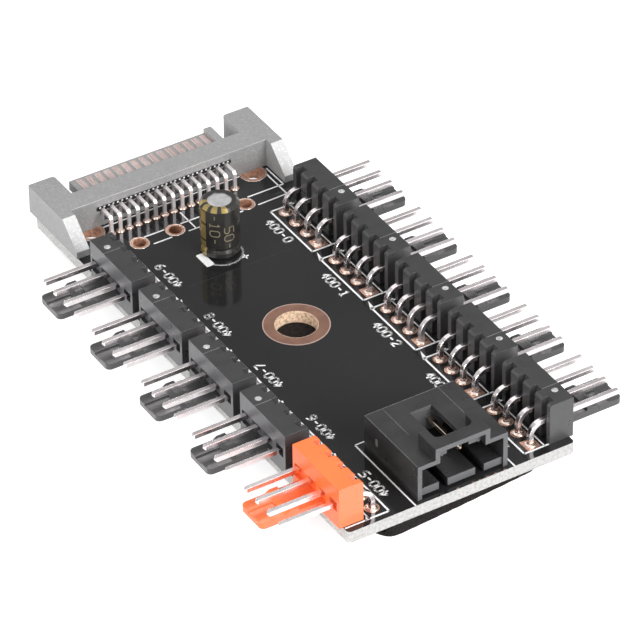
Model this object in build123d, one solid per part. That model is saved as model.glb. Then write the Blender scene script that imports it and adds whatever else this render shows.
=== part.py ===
from build123d import *
from math import cos, pi, sin
import os

os.makedirs("parts", exist_ok=True)

# Everything is drawn from the board's front left top corner, with X to the right,
# Y to the rear and Z up, and moved to the part's own origin when it is saved.

# Board
board_width = 31.3
board_thickness = 1.6
board_corner_radius = 0.5
board_rear_margin = 8.45

# Mounting hole, lined by a copper ring on both faces
mounting_hole_diameter = 5.3
mounting_hole_shift = 0.15
ring_diameter = 8.3
ring_wall = 0.05

# Fan headers
headers_per_side = 5
pins_per_header = 4
pin_pitch = 2.54
header_depth = 3.3
header_height = 5.65
header_gap = 1.64
header_front_margin = 1.17
header_overhang = 0.5
channel_width = 1.1
channel_depth = 1.0
rib_chamfer = 0.25

# Recesses in the face that the pins come out of
recess_depth = 0.5
recess_rise = 0.42
recess_end = 0.85
post_radius = 0.45
post_sides = 6
single_recess_width = 1.6
single_recess_height = 1.3

# Locking tongue under the header's pins, with a catch across it near the root
tongue_length = 8.0
tongue_width = 4.7
tongue_bottom = 0.55
tongue_thickness = 0.8
tongue_corner_radius = 0.7
tongue_trough_width = 1.4
tongue_trough_length = 3.3
tongue_trough_depth = 0.2
catch_height = 0.38
catch_length = 1.85
catch_ramp = 0.55
catch_back = 0.2

# Square pins of the headers and of the power socket
pin_width = 0.64
pin_height = 2.85
pin_reach = 7.3
pin_setback = 1.9
pin_bend_radius = 1.9
pin_tip = 0.2
tail_length = 1.2
pin_hole_diameter = 1.02
hole_sides = 6
bend_steps = 3

# Drive socket: a tongue between two arms, with a row of flat contacts
drive_gap = 4.17
drive_overhang = 0.225
drive_height = 4.0
drive_shift = 0.075
drive_wall_rear = 5.25
drive_wall_front = 2.15
drive_arm_end = 9.6
drive_arm_left = 3.65
drive_arm_right = 3.8
drive_arm_radius = 0.5
bracket_width = 1.8
bracket_reach = 2.35
bracket_toe = 0.95
bracket_top = 1.05
bracket_root = 0.5
blade_left = 10.825
blade_length = 19.45
blade_thickness = 1.23
blade_top = 3.35
blade_end = 8.35
key_width = 1.05
key_bottom = 2.1

# Contacts of the drive socket
contact_count = 15
contact_pitch = 1.27
contact_shift = -0.735
contact_width = 0.84
contact_thickness = 0.25
contact_proud = 0.05
contact_end = 8.0
contact_tail_width = 0.45
contact_tail_thickness = 0.3
contact_tail_height = 2.425
contact_bend = 0.35
contact_hole_diameter = 0.8
slot_height = 0.65
slot_margin = 0.8
slot_depth = 0.45
step_room = 0.6

# Empty holes by the drive socket
locating_hole_diameter = 2.6
locating_hole_offset = 11.7
locating_hole_setback = 1.55
spare_hole_diameter = 1.7
spare_hole_pitch = 5.08
spare_hole_count = 4
spare_hole_front = 3.59
open_hole_sides = 20

# Power socket
socket_shift = 0.39
socket_front = 0.61
socket_width = 12.42
socket_depth = 11.59
socket_height = 4.93
socket_wall = 0.62
socket_cavity_depth = 9.2
socket_floor_top = 1.35
socket_floor_bottom = 0.3
socket_floor_front = 0.3
socket_slot_width = 1.2
socket_slot_offset = 2.5
hood_width = 7.53
hood_height = 1.6
hood_bar = 1.79
hood_depth = 3.69
hood_wing = 1.05
hood_wall = 0.65
hood_corner_radius = 0.9
hood_root = 0.3
window_width = 3.0
window_end = 9.1
socket_pin_start = 2.5
socket_pin_setback = 1.1
socket_pin_height = 3.0
socket_pin_bend_radius = 1.0

# Capacitor
capacitor_shift = 0.2
capacitor_front = 9.95
capacitor_diameter = 5.0
capacitor_height = 7.5
sleeve_wall = 0.12
sleeve_start = 0.3
sleeve_opening_diameter = 3.05
sleeve_edge = 0.4
crimp_height = 1.3
crimp_depth = 0.2
bung_diameter = 3.8
bung_height = 0.5
lead_diameter = 0.5
lead_sides = 8
lead_spacing = 2.0
lead_hole_diameter = 0.8

# Solder joints under the board
joint_height = 0.8
joint_width = 1.7
joint_tip_width = 1.1
contact_joint_width = 1.05
contact_joint_tip_width = 0.7

# Foam pad under the board
pad_thickness = 2.0
pad_left = 4.5
pad_right = 2.9
pad_front = 0.9
pad_skew = 1.2
pad_rear_gap = 2.65
pad_corner_radius = 2.5
groove_clearance = 0.15

# Sizes that follow from the ones above
header_length = pins_per_header * pin_pitch
header_pitch = header_length + header_gap
header_rear = header_front_margin + headers_per_side * header_pitch - header_gap
drive_row = header_rear + drive_gap + bracket_reach
board_length = drive_row + board_rear_margin
overall_length = drive_row + drive_arm_end
mounting_hole_x = board_width / 2
mounting_hole_y = board_length / 2 + mounting_hole_shift
drive_x = board_width / 2 + drive_shift
drive_width = board_width + 2 * drive_overhang
contact_x = drive_x + contact_shift
socket_x = board_width / 2 + socket_shift
socket_rear = socket_front + socket_depth
socket_row = socket_rear + socket_pin_setback
capacitor_x = board_width / 2 + capacitor_shift
capacitor_y = drive_row - capacitor_front
header_row = header_depth + pin_setback
groove_depth = tail_length + groove_clearance


def block(x0, x1, y0, y1, z0, z1):
    """A box between two opposite corners."""
    box = Box(x1 - x0, y1 - y0, z1 - z0, align=(Align.MIN, Align.MIN, Align.MIN))
    return Pos(x0, y0, z0) * box


def rod(x, y, z0, z1, radius):
    """An upright cylinder between two heights."""
    shape = Cylinder(radius, z1 - z0, align=(Align.CENTER, Align.CENTER, Align.MIN))
    return Pos(x, y, z0) * shape


def prism(x, y, z0, z1, radius, sides):
    """An upright prism with flat sides, for what is too small to show as round."""
    outline = Pos(x, y, z0) * RegularPolygon(radius, sides)
    return extrude(outline, z1 - z0)


def side_profile(points, width):
    """A solid of the given width in Y, from a closed outline in X and Z."""
    outline = Plane.XZ * make_face(Polyline(*points, close=True))
    return extrude(outline, width / 2, both=True)


def save(name, shape):
    """Move a piece from the board's corner to the part's origin and write it."""
    origin = (-board_width / 2, -overall_length / 2, pad_thickness + board_thickness)
    piece = shape.moved(Location(origin))
    piece.label = name
    export_step(piece, f"parts/{name}.step")


def pin_offsets():
    """Where the pins of a header stand along its length."""
    first = -(pins_per_header - 1) * pin_pitch / 2
    return [first + number * pin_pitch for number in range(pins_per_header)]


def header_places():
    """Side, number and location of each header, from front to rear."""
    places = []
    for number in range(headers_per_side):
        y = header_front_margin + header_length / 2 + number * header_pitch
        right = Location((board_width + header_overhang, y, 0))
        left = Location((-header_overhang, y, 0), (0, 0, 180))
        places.append(("right", number + 1, right))
        places.append(("left", number + 1, left))
    return places


def contact_places():
    """X of each contact of the drive socket."""
    first = contact_x - (contact_count - 1) * contact_pitch / 2
    return [first + number * contact_pitch for number in range(contact_count)]


def socket_pin_places():
    """X of each pin of the power socket."""
    return [socket_x + offset for offset in pin_offsets()]


def lead_places():
    """X of the capacitor's two leads."""
    return [capacitor_x - lead_spacing / 2, capacitor_x + lead_spacing / 2]


def spare_places():
    """X of the holes that nothing is fitted in."""
    first = mounting_hole_x - (spare_hole_count - 1) * spare_hole_pitch / 2
    return [first + number * spare_hole_pitch for number in range(spare_hole_count)]


def header_tails():
    """Where the headers' pins meet the board."""
    tails = []
    for side, number, place in header_places():
        for offset in pin_offsets():
            spot = place * Pos(-header_row, offset, 0)
            tails.append((spot.position.X, spot.position.Y))
    return tails


def quarter_turn(x, z, radius):
    """Points round a bend's centre, from straight behind it to straight above it."""
    points = []
    for step in range(bend_steps + 1):
        angle = step / bend_steps * pi / 2
        points.append((x - radius * cos(angle), z + radius * sin(angle)))
    return points


def bent_pin(start, end, height, bend_radius, bottom):
    """A square pin that runs along X at a height and bends down at its start."""
    half = pin_width / 2
    x = start - half + bend_radius
    z = height + half - bend_radius
    outer = quarter_turn(x, z, bend_radius)
    inner = quarter_turn(x, z, bend_radius - pin_width)
    tip = [(end, height + half), (end, height - half)]
    foot = [(start + half, bottom), (start - half, bottom)]
    pin = side_profile(outer + tip + inner[::-1] + foot, pin_width)
    return chamfer(pin.faces().sort_by(Axis.X)[-1].edges(), pin_tip)


def header_pins():
    """The four pins of a header whose face looks along +X."""
    bottom = -board_thickness - tail_length
    start = -header_row
    pin = bent_pin(start, pin_reach, pin_height, pin_bend_radius, bottom)
    return [Pos(0, offset, 0) * pin for offset in pin_offsets()]


def header_tongue():
    """The locking tongue, with its trough and the catch across it."""
    middle = -pin_pitch / 2
    half = tongue_width / 2
    top = tongue_bottom + tongue_thickness
    tongue = block(-header_depth / 2, tongue_length, middle - half, middle + half, tongue_bottom, top)
    corners = tongue.edges().filter_by(Axis.Z).group_by(Axis.X)[-1]
    tongue = fillet(corners, tongue_corner_radius)
    front = tongue_length - tongue_trough_length
    side = tongue_trough_width / 2
    floor = top - tongue_trough_depth
    tongue -= block(front, tongue_length + 1, middle - side, middle + side, floor, top + 1)
    back = front - catch_length
    points = [
        (front, top),
        (front - catch_ramp, top + catch_height),
        (back + catch_back, top + catch_height),
        (back, top),
        (back, tongue_bottom),
        (front, tongue_bottom),
    ]
    return tongue + Pos(0, middle, 0) * side_profile(points, tongue_width)


def header_housing():
    """A header's plastic housing whose face looks along +X."""
    half = header_length / 2
    body = block(-header_depth, 0, -half, half, 0, header_height)
    back = body.edges().filter_by(Axis.Y).group_by(Axis.X)[0].sort_by(Axis.Z)[-1]
    offsets = pin_offsets()
    low = offsets[0] - recess_end
    high = offsets[-2] + recess_end
    floor = tongue_bottom + tongue_thickness
    top = pin_height + recess_rise
    body = chamfer(back, rib_chamfer)
    body -= block(-recess_depth, 1, low, high, floor, top)
    for offset in offsets[:-2]:
        middle = offset + pin_pitch / 2
        body += prism(-recess_depth, middle, floor, top, post_radius, post_sides)
    side = single_recess_width / 2
    rise = single_recess_height / 2
    low = offsets[-1] - side
    high = offsets[-1] + side
    body -= block(-recess_depth, 1, low, high, pin_height - rise, pin_height + rise)
    for offset in offsets:
        side = channel_width / 2
        edge = channel_depth - header_depth
        body -= block(-header_depth - 1, edge, offset - side, offset + side, -1, header_height + 1)
    body += header_tongue()
    hole = pin_width / 2
    for offset in offsets:
        low = offset - hole
        high = offset + hole
        body -= block(-header_depth - 1, 1, low, high, pin_height - hole, pin_height + hole)
    return body


def board_hole(x, y, diameter, sides):
    """What is drilled out of the board at one place."""
    return prism(x, y, -board_thickness - 1, 1, diameter / 2, sides)


def board():
    """The printed circuit board with all its holes."""
    plate = block(0, board_width, 0, board_length, -board_thickness, 0)
    plate = fillet(plate.edges().filter_by(Axis.Z), board_corner_radius)
    for x, y in header_tails():
        plate -= board_hole(x, y, pin_hole_diameter, hole_sides)
    for x in socket_pin_places():
        plate -= board_hole(x, socket_row, pin_hole_diameter, hole_sides)
    for x in contact_places():
        plate -= board_hole(x, drive_row, contact_hole_diameter, hole_sides)
    for x in lead_places():
        plate -= board_hole(x, capacitor_y, lead_hole_diameter, hole_sides)
    for x in spare_places():
        y = drive_row - spare_hole_front
        plate -= board_hole(x, y, spare_hole_diameter, open_hole_sides)
    for side in (-1, 1):
        x = drive_x + side * locating_hole_offset
        y = drive_row + locating_hole_setback
        plate -= board_hole(x, y, locating_hole_diameter, open_hole_sides)
    radius = mounting_hole_diameter / 2 + ring_wall
    return plate - rod(mounting_hole_x, mounting_hole_y, -board_thickness - 1, 1, radius)


def mounting_ring():
    """The copper lining of the mounting hole, with a flat ring on each face."""
    x = mounting_hole_x
    y = mounting_hole_y
    radius = mounting_hole_diameter / 2
    low = -board_thickness - ring_wall
    ring = rod(x, y, -board_thickness, 0, radius + ring_wall)
    ring += rod(x, y, 0, ring_wall, ring_diameter / 2)
    ring += rod(x, y, low, -board_thickness, ring_diameter / 2)
    return ring - rod(x, y, low - 1, 1, radius)


def drive_bracket(x0, x1):
    """One of the sloping feet that hold the drive socket down."""
    wall = drive_row + drive_wall_front
    toe = drive_row - bracket_reach
    points = [
        (wall + bracket_root, 0),
        (toe, 0),
        (toe, bracket_toe),
        (drive_row + bracket_top, drive_height),
        (wall + bracket_root, drive_height),
    ]
    outline = Plane.YZ * make_face(Polyline(*points, close=True))
    return Pos(x0, 0, 0) * extrude(outline, x1 - x0)


def drive_housing():
    """The drive socket's grey housing."""
    left = drive_x - drive_width / 2
    right = drive_x + drive_width / 2
    wall = drive_row + drive_wall_front
    face = drive_row + drive_wall_rear
    tip = drive_row + drive_arm_end
    body = block(left, right, wall, face, 0, drive_height)
    for x0, x1, inner in ((left, left + drive_arm_left, 1), (right - drive_arm_right, right, 0)):
        arm = block(x0, x1, face - 1, tip, 0, drive_height)
        corner = arm.edges().filter_by(Axis.Z).group_by(Axis.Y)[-1].sort_by(Axis.X)[-inner]
        body += fillet(corner, drive_arm_radius)
    body += drive_bracket(left, left + bracket_width)
    body += drive_bracket(right - bracket_width, right)
    blade_x = drive_x - blade_left
    key_x = blade_x + blade_length
    end = drive_row + blade_end
    body += block(blade_x, key_x, face - 1, end, blade_top - blade_thickness, blade_top)
    body += block(key_x, key_x + key_width, face - 1, end, key_bottom, drive_height)
    return body - contact_tunnels()


def contact_tunnels():
    """The slot in the housing's back, and the space that each contact takes up."""
    wall = drive_row + drive_wall_front
    room = drive_row + (drive_wall_front + drive_wall_rear) / 2
    top = blade_top + contact_proud
    floor = contact_tail_height - contact_tail_thickness / 2
    places = contact_places()
    low = places[0] - slot_margin
    high = places[-1] + slot_margin
    tunnels = [block(low, high, wall - 1, wall + slot_depth, floor, floor + slot_height)]
    for x in places:
        side = contact_width / 2
        end = drive_row + contact_end
        tunnel = block(x - side, x + side, wall - 1, room, floor, top)
        tunnel -= block(x - side, x + side, wall - 1, room - step_room, floor + slot_height, top)
        tunnel += block(x - side, x + side, room - step_room, end, top - contact_thickness, top)
        tunnels.append(tunnel)
    return tunnels


def drive_contact():
    """One contact of the drive socket, drawn with its tail on the Z axis."""
    half = contact_tail_thickness / 2
    low = contact_tail_height - half
    high = contact_tail_height + half
    top = blade_top + contact_proud
    room = (drive_wall_front + drive_wall_rear) / 2
    bottom = -board_thickness - tail_length
    side = contact_width / 2
    strip = block(-side, side, room - contact_tail_thickness, contact_end, top - contact_thickness, top)
    strip += block(-side, side, room - contact_tail_thickness, room, low, top)
    side = contact_tail_width / 2
    tail = block(-side, side, -half, room, low, high)
    tail += block(-side, side, -half, half, bottom, high)
    outer = tail.edges().filter_by(Axis.X).group_by(Axis.Y)[0].sort_by(Axis.Z)[-1]
    return strip + chamfer(outer, contact_bend)


def socket_hood(front):
    """The raised hood over the power socket's mouth, with a wing on each side."""
    half = hood_width / 2
    top = socket_height + hood_height
    hood = block(socket_x - half, socket_x + half, front, front + hood_depth, socket_height - hood_root, top)
    inner = half - hood_wing
    rear = front + hood_depth + 1
    low = socket_x - inner
    high = socket_x + inner
    bay = block(low, high, front + hood_bar, rear, socket_height, top + 1)
    corners = bay.edges().filter_by(Axis.Z).group_by(Axis.Y)[0]
    return hood - fillet(corners, hood_corner_radius)


def socket_housing():
    """The power socket's housing, open to the front."""
    half = socket_width / 2
    left = socket_x - half
    right = socket_x + half
    front = socket_front
    body = block(left, right, front, socket_rear, 0, socket_height)
    body += socket_hood(front)
    inner = half - socket_wall
    end = front + socket_cavity_depth
    ceiling = socket_height - socket_wall
    floor = socket_floor_top
    body -= block(socket_x - inner, socket_x + inner, front - 1, end, floor, ceiling)
    body -= block(socket_x - inner, socket_x + inner, front - 1, end, -1, socket_floor_bottom)
    lip = front + socket_floor_front
    body -= block(socket_x - inner, socket_x + inner, front - 1, lip, -1, ceiling)
    for side in (-1, 1):
        low = socket_x + side * socket_slot_offset - socket_slot_width / 2
        high = low + socket_slot_width
        body -= block(low, high, front - 1, end, -1, ceiling)
    inner = hood_width / 2 - hood_wall
    roof = socket_height + hood_height - hood_wall
    back = front + hood_bar - hood_wall
    body -= block(socket_x - inner, socket_x + inner, front - 1, back, floor, roof)
    side = window_width / 2
    body -= block(socket_x - side, socket_x + side, front, front + window_end, floor, roof)
    hole = pin_width / 2
    for x in socket_pin_places():
        low = socket_pin_height - hole
        high = socket_pin_height + hole
        body -= block(x - hole, x + hole, end - 1, socket_rear + 1, low, high)
    return body


def socket_pins():
    """The power socket's four pins."""
    length = socket_row - socket_front - socket_pin_start
    bottom = -board_thickness - tail_length
    pin = bent_pin(0, length, socket_pin_height, socket_pin_bend_radius, bottom)
    return [Pos(x, socket_row, 0) * Rot(0, 0, -90) * pin for x in socket_pin_places()]


def can_outline(radius, low, high, edge):
    """Half the outline of the capacitor's can, waisted above its base."""
    return [
        (0, low),
        (radius, low),
        (radius, crimp_height - 2 * crimp_depth),
        (radius - crimp_depth, crimp_height),
        (radius, crimp_height + 2 * crimp_depth),
        (radius, high - edge),
        (radius - edge, high),
        (0, high),
    ]


def turned(points):
    """A solid turned about the capacitor's axis from half an outline."""
    outline = Plane.XZ * make_face(Polyline(*points, close=True))
    return Pos(capacitor_x, capacitor_y, 0) * revolve(outline, Axis.Z)


def capacitor_can():
    """The aluminium can under the sleeve."""
    radius = capacitor_diameter / 2 - sleeve_wall
    return turned(can_outline(radius, bung_height, capacitor_height - sleeve_wall, sleeve_edge))


def capacitor_sleeve():
    """The printed plastic sleeve, shrunk over the can's rim."""
    radius = capacitor_diameter / 2
    skin = turned(can_outline(radius, sleeve_start, capacitor_height, sleeve_edge))
    skin -= capacitor_can()
    skin -= rod(capacitor_x, capacitor_y, 0, bung_height, radius - sleeve_wall)
    opening = sleeve_opening_diameter / 2
    return skin - rod(capacitor_x, capacitor_y, bung_height, capacitor_height + 1, opening)


def capacitor_bung():
    """The rubber bung that the leads come out of."""
    bung = rod(capacitor_x, capacitor_y, 0, bung_height, bung_diameter / 2)
    for x in lead_places():
        bung -= prism(x, capacitor_y, -1, bung_height + 1, lead_diameter / 2, lead_sides)
    return bung


def capacitor_leads():
    """The capacitor's two wire leads."""
    bottom = -board_thickness - tail_length
    radius = lead_diameter / 2
    return [prism(x, capacitor_y, bottom, bung_height, radius, lead_sides) for x in lead_places()]


def solder_joint(wide, narrow):
    """A pyramid of solder under the board, cut off at its tip."""
    top = -board_thickness
    low = top - joint_height
    points = [(-wide / 2, top), (wide / 2, top), (narrow / 2, low), (-narrow / 2, low)]
    wedge = side_profile(points, wide)
    return wedge & Rot(0, 0, 90) * wedge


def solder_joints(pins, contacts, power_pins, leads):
    """All solder joints, each with the hole that its pin fills."""
    joints = []
    cone = solder_joint(joint_width, joint_tip_width)
    small = solder_joint(contact_joint_width, contact_joint_tip_width)
    for (x, y), pin in zip(header_tails(), pins):
        joints.append(Pos(x, y, 0) * cone - pin)
    for x, pin in zip(socket_pin_places(), power_pins):
        joints.append(Pos(x, socket_row, 0) * cone - pin)
    for x, contact in zip(contact_places(), contacts):
        joints.append(Pos(x, drive_row, 0) * small - contact)
    for x, lead in zip(lead_places(), leads):
        joints.append(Pos(x, capacitor_y, 0) * cone - lead)
    return joints


def foam_pad():
    """The foam pad under the board, hollowed over the solder joints."""
    top = -board_thickness
    low = top - pad_thickness
    right = board_width - pad_right
    rear = drive_row - pad_rear_gap
    points = [
        (pad_left, pad_front),
        (right, pad_front + pad_skew),
        (right, rear),
        (pad_left, rear),
    ]
    outline = make_face(Polyline(*points, close=True))
    outline = fillet(outline.vertices(), pad_corner_radius)
    pad = extrude(Pos(0, 0, low) * outline, pad_thickness)
    dent = ring_diameter / 2 + groove_clearance
    pad -= rod(mounting_hole_x, mounting_hole_y, top - ring_wall, top + 1, dent)
    side = joint_width / 2 + groove_clearance
    floor = top - groove_depth
    tails = header_tails()
    first = min(y for x, y in tails) - side
    last = max(y for x, y in tails) + side
    for x in (min(x for x, y in tails), max(x for x, y in tails)):
        pad -= block(x - side, x + side, first, last, floor, top + 1)
    for places, y in ((socket_pin_places(), socket_row), (lead_places(), capacitor_y)):
        low_x = min(places) - side
        high_x = max(places) + side
        pad -= block(low_x, high_x, y - side, y + side, floor, top + 1)
    return pad


housing = header_housing()
pin_set = header_pins()
all_pins = []
for side, number, place in header_places():
    pins = [place * pin for pin in pin_set]
    all_pins += pins
    save(f"header_{side}_{number}_housing", place * housing)
    save(f"header_{side}_{number}_pins", Compound(children=pins))

contact = drive_contact()
contacts = [Pos(x, drive_row, 0) * contact for x in contact_places()]
power_pins = socket_pins()
leads = capacitor_leads()
joints = solder_joints(all_pins, contacts, power_pins, leads)

save("board", board())
save("mounting_hole_ring", mounting_ring())
save("foam_pad", foam_pad())
save("drive_socket_housing", drive_housing())
save("drive_socket_contacts", Compound(children=contacts))
save("power_socket_housing", socket_housing())
save("power_socket_pins", Compound(children=power_pins))
save("capacitor_can", capacitor_can())
save("capacitor_sleeve", capacitor_sleeve())
save("capacitor_bung", capacitor_bung())
save("capacitor_leads", Compound(children=leads))
save("solder_joints", Compound(children=joints))
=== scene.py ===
import math

import bmesh
import bpy
from bpy.props import FloatProperty, FloatVectorProperty, PointerProperty
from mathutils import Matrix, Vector, noise


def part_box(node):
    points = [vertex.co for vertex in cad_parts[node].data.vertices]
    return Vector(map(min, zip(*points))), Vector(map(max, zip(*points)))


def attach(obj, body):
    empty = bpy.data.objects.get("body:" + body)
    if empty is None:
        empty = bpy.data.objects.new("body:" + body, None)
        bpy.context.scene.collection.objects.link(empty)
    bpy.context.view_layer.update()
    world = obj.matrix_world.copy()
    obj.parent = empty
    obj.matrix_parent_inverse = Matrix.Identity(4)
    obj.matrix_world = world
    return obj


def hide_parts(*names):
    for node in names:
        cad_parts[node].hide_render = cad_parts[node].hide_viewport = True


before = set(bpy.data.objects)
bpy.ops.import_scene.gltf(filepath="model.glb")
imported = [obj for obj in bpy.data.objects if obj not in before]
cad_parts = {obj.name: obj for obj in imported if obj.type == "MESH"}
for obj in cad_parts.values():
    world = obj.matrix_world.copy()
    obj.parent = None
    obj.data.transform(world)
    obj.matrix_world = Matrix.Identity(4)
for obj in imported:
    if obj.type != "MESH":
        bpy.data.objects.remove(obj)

bl_info = {
    "name": "Fan hub",
    "version": (1, 0, 0),
    "blender": (4, 5, 0),
    "location": "View3D > Sidebar > Fan hub",
    "description": "Dresses a fan hub's circuit board, headers and sockets",
    "category": "Object",
}

MM = 0.001
BOARD_LOW, BOARD_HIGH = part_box("board")
PAD_LOW, PAD_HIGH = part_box("foam_pad")
BOARD_WIDTH = (BOARD_HIGH[0] - BOARD_LOW[0]) / MM
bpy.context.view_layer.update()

# The fan headers by side and number from the front, and the orange one
HEADERS = 5
EVERY_HEADER = [(side, number) for side in ("left", "right") for number in range(1, HEADERS + 1)]
ORANGE_HEADER = ("left", 1)

# Pins in a header and in the power socket, and contacts in the drive socket
PINS = 4
CONTACTS = 15

# Places and sizes in millimetres from the board's front left top corner, as the solids have them
PIN_WIDTH = 0.64
TAIL_END = -2.8
JOINT_TOP = -1.6
POWER_ROW = 13.3
WALL = 67.2
SOCKET_TOP = 4.93
HEADER_SHOULDER = 5.0

# Half the length of a header's printed box, which reaches further at the front left header's front
BOX_END = 4.95
FRONT_END = 5.35

# Heights above the mask where the print, the pads and their rims start or end
PRINT_LOW = 0.002
PAD_LIFT = 0.004
PAD_TOP = 0.04
RIM_TOP = 0.055

# The holes that nothing is fitted in: how far apart, and how far in front of the contacts' tails
SPARE_PITCH = 5.08
SPARE_SETBACK = 3.59

# How straight a face has to look along an axis to count as facing that way
FACING = 0.9

WHITE = (1.0, 1.0, 1.0, 1.0)
BLACK = (0.0, 0.0, 0.0, 1.0)


def spot(x, y, z=0.0):
    """A point given in millimetres from the board's front left top corner."""
    low = BOARD_LOW
    return Vector((low[0] + x * MM, low[1] + y * MM, BOARD_HIGH[2] + z * MM))


def middle(node):
    """The centre of a node's box, in millimetres from the board's corner."""
    low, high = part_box(node)
    base = (BOARD_LOW[0], BOARD_LOW[1], BOARD_HIGH[2])
    return tuple(((low[i] + high[i]) / 2 - base[i]) / MM for i in range(3))


def in_shaft(radius, x, y):
    """A surface wrapped round an upright shaft, from distances round it and up it."""
    def surface(u, v, h):
        angle = u / radius
        reach = radius + h
        return spot(x + reach * math.sin(angle), y - reach * math.cos(angle), v)
    return surface


def on_wall(y):
    """A surface that stands upright and looks to the front."""
    def surface(u, v, h):
        return spot(u, y - h, v)
    return surface


def header_middle(side, number):
    """Y of a header's middle, in millimetres from the board's front edge."""
    return middle(f"header_{side}_{number}_housing")[1]


# Sizes and colours that a user would change


class HubSizes(bpy.types.PropertyGroup):
    """Sizes of the printed lines, the pads and the marks, in millimetres."""

    line: FloatProperty(name="Line", description="Width of the printed lines", default=0.2)
    thin_line: FloatProperty(name="Thin line", description="Width of the inner lines", default=0.17)
    print_height: FloatProperty(name="Print", description="Thickness of the print", default=0.02)
    digit_height: FloatProperty(name="Digits", description="Height of the numbers", default=1.15)
    digit_line: FloatProperty(name="Digit line", description="Width of the numbers' strokes", default=0.23)
    pad_radius: FloatProperty(name="Pad", description="Radius of a header's pad", default=0.92)
    hole_radius: FloatProperty(name="Hole", description="Radius of a pin's hole", default=0.5)
    pin_row: FloatProperty(name="Pin row", description="From the board's edge to the pins", default=4.7)
    pin_pitch: FloatProperty(name="Pin pitch", description="From pin to pin", default=2.54)
    contact_pitch: FloatProperty(name="Contact pitch", description="Between contacts", default=1.27)
    mark_radius: FloatProperty(name="Mark", description="Radius of the ejector marks", default=0.42)


class HubColours(bpy.types.PropertyGroup):
    """Base colours of the finishes, as linear red, green and blue."""

    mask: FloatVectorProperty(name="Mask", description="Solder mask", subtype="COLOR",
                              default=(0.0155, 0.0155, 0.016))
    edge: FloatVectorProperty(name="Edge", description="The board's cut edge", subtype="COLOR",
                              default=(0.57, 0.565, 0.555))
    wall: FloatVectorProperty(name="Hole", description="Copper inside the empty holes", subtype="COLOR",
                              default=(0.62, 0.33, 0.22))
    lining: FloatVectorProperty(name="Lining", description="Copper down the mounting hole",
                                subtype="COLOR", default=(1.0, 0.74, 0.53))
    ink: FloatVectorProperty(name="Print", description="White print", subtype="COLOR",
                             default=(0.98, 0.98, 0.98))
    black: FloatVectorProperty(name="Black", description="Black plastic", subtype="COLOR",
                               default=(0.05, 0.05, 0.052))
    orange: FloatVectorProperty(name="Orange", description="Orange plastic", subtype="COLOR",
                                default=(1.0, 0.205, 0.055))
    grey: FloatVectorProperty(name="Grey", description="Grey plastic", subtype="COLOR",
                              default=(0.3, 0.3, 0.3))
    tin: FloatVectorProperty(name="Tin", description="Tinned pins", subtype="COLOR",
                             default=(0.93, 0.87, 0.88))
    copper: FloatVectorProperty(name="Copper", description="Bare copper", subtype="COLOR",
                                default=(0.56, 0.31, 0.22))
    gold: FloatVectorProperty(name="Gold", description="Gold plating and print", subtype="COLOR",
                              default=(0.4, 0.3, 0.11))
    foam: FloatVectorProperty(name="Foam", description="Foam pad", subtype="COLOR",
                              default=(0.022, 0.018, 0.018))


class HubCamera(bpy.types.PropertyGroup):
    """Where the camera stands."""

    place: FloatVectorProperty(name="Place", description="The camera's place", subtype="TRANSLATION",
                               unit="LENGTH", default=(-0.25604, -0.42754, 0.38196))
    turn: FloatVectorProperty(name="Turn", description="The camera's angles", subtype="EULER",
                              unit="ROTATION",
                              default=tuple(math.radians(a) for a in (52.8179, 0.6077, -31.73)))
    lens: FloatProperty(name="Lens", description="Focal length in millimetres", unit="CAMERA",
                        default=291.27)


# Shader nodes, node groups and materials


def feed(tree, socket, value):
    """Links an input to a socket, or gives it a plain value."""
    if isinstance(value, bpy.types.NodeSocket):
        tree.links.new(value, socket)
    else:
        socket.default_value = value


def add_node(tree, kind, **inputs):
    """A shader node with its inputs fed by name, where _ stands for a space."""
    node = tree.nodes.new("ShaderNode" + kind)
    for label, value in inputs.items():
        feed(tree, node.inputs[label.replace("_", " ")], value)
    return node


def math_node(tree, operation, *values):
    """A Math node's output."""
    node = add_node(tree, "Math")
    node.operation = operation
    for socket, value in zip(node.inputs, values):
        feed(tree, socket, value)
    return node.outputs[0]


def range_node(tree, value, source, target=(0.0, 1.0)):
    """A value mapped from one range to another."""
    node = add_node(tree, "MapRange", Value=value, From_Min=source[0], From_Max=source[1],
                    To_Min=target[0], To_Max=target[1])
    return node.outputs["Result"]


def noise_node(tree, scale, detail):
    """Noise over the surface, as a value."""
    place = add_node(tree, "TexCoord").outputs["Object"]
    return add_node(tree, "TexNoise", Vector=place, Scale=scale, Detail=detail).outputs["Fac"]


def mix_colour(tree, mask, first, second, blend="MIX"):
    """Two colours, each a socket or a plain colour, mixed by a mask."""
    node = add_node(tree, "Mix")
    node.data_type = "RGBA"
    node.blend_type = blend
    for index, value in ((0, mask), (6, first), (7, second)):
        feed(tree, node.inputs[index], value)
    return node.outputs[2]


def place_axes(tree):
    """A surface's place, split into X, Y and Z."""
    place = add_node(tree, "TexCoord").outputs["Object"]
    return add_node(tree, "SeparateXYZ", Vector=place).outputs


def normal_axes(tree):
    """A surface's true normal, split into X, Y and Z."""
    normal = add_node(tree, "NewGeometry").outputs["True Normal"]
    return add_node(tree, "SeparateXYZ", Vector=normal).outputs


def from_axis(tree, place, node):
    """How far a surface's place lies from the upright axis of a CAD node, along X and along Y."""
    centre = middle(node)
    axis = spot(centre[0], centre[1])
    return (math_node(tree, "SUBTRACT", place["X"], axis.x),
            math_node(tree, "SUBTRACT", place["Y"], axis.y))


def grain_nodes(group, start):
    """Fine and coarse unevenness: a roughness between two limits, and a height."""
    coarse = noise_node(group, math_node(group, "MULTIPLY", start["Scale"], 0.22), 2.0)
    rough = range_node(group, coarse, (0.3, 0.7), (start["Low"], start["High"]))
    return rough, noise_node(group, start["Scale"], start["Detail"])


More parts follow.
